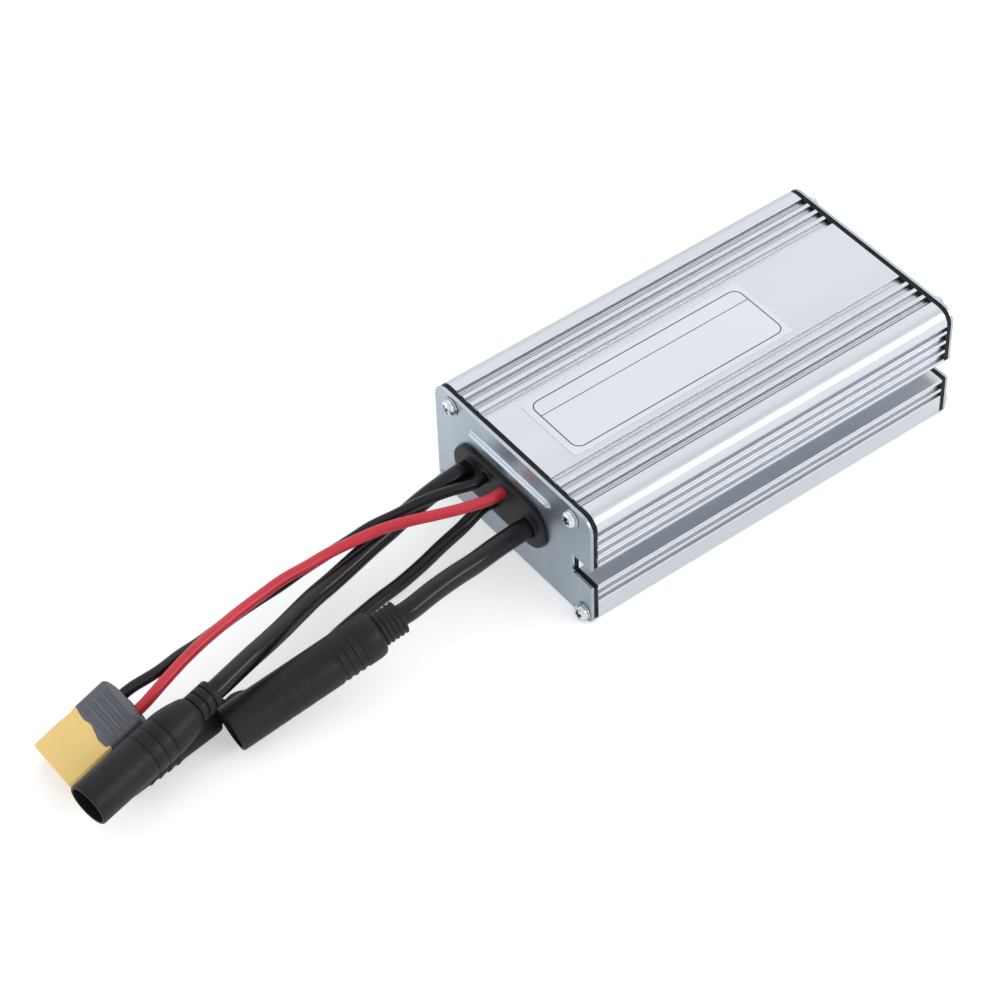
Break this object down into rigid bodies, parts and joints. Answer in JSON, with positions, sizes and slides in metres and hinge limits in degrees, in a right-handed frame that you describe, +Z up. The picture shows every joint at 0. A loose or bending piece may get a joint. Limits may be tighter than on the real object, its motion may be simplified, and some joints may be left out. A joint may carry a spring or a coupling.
{
  "type": "electronic_speed_controller",
  "caption": "Finned aluminium motor speed controller with a side mounting channel, a rubber cable grommet, a two-pole power plug and round signal and motor connectors",
  "frame": {"origin": "on the floor, under the middle of the housing with its end plates and screw heads", "axes": "+X from the cable end to the blank end of the housing, +Y away from the side channel, +Z up"},
  "size_m": [0.2817, 0.07, 0.0402],
  "materials": {
    "aluminium": "extruded, clear anodised, satin",
    "zinc_plate": "rolled steel sheet, zinc plated",
    "zinc_screws": "bright zinc plated steel",
    "rubber": "moulded black rubber",
    "label_film": "silver polyester film",
    "board": "green solder mask on glass fibre board",
    "light_insulation": "white or grey insulating film and nylon",
    "black_resin": "moulded epoxy resin",
    "tinned_metal": "tinned copper",
    "capacitor_sleeve": "shrunk plastic sleeve",
    "copper_alloy": "bare or enamelled copper alloy",
    "ceramic": "coated ceramic",
    "black_sheath": "smooth soft PVC sheath",
    "red_sheath": "smooth soft silicone or PVC insulation",
    "amber_nylon": "moulded amber nylon",
    "grey_boot": "moulded blue-grey nylon boot",
    "connector_black": "moulded black thermoplastic, satin",
    "contact_gold": "gold plated brass"
  },
  "bodies": {
    "root": {"housing_extrusion": "aluminium", "front_gasket": "rubber", "rear_gasket": "rubber", "front_plate": "zinc_plate", "rear_plate": "zinc_plate", "front_screws": "zinc_screws", "rear_screws": "zinc_screws", "cable_grommet": "rubber", "rating_label": "label_film", "circuit_board": "board", "heat_bar": "aluminium", "bar_screws": "zinc_screws", "insulating_strip": "light_insulation", "power_transistors": "black_resin", "transistor_legs": "tinned_metal", "transistor_screws": "zinc_screws", "insulating_bushes": "light_insulation", "bulk_capacitors": "capacitor_sleeve", "capacitor_legs": "tinned_metal", "small_capacitors": "capacitor_sleeve", "current_shunts": "copper_alloy", "microcontroller": "black_resin", "microcontroller_pins": "tinned_metal", "driver_chips": "black_resin", "voltage_regulator": "black_resin", "dropper_resistor": "ceramic", "choke": "copper_alloy", "cable_tails": "black_sheath", "conductor_leads": "copper_alloy", "red_power_wire": "red_sheath", "black_power_wire": "black_sheath", "harness_cable": "black_sheath", "motor_cable": "black_sheath", "sensor_cable": "black_sheath", "plug_housing": "amber_nylon", "plug_contacts": "contact_gold", "plug_boot": "grey_boot", "harness_connector": "connector_black", "harness_insert": "connector_black", "harness_pins": "contact_gold", "motor_connector": "connector_black", "motor_insert": "connector_black", "motor_pins": "contact_gold", "sensor_connector": "connector_black", "sensor_insert": "connector_black", "sensor_pins": "contact_gold"}
  },
  "joints": []
}
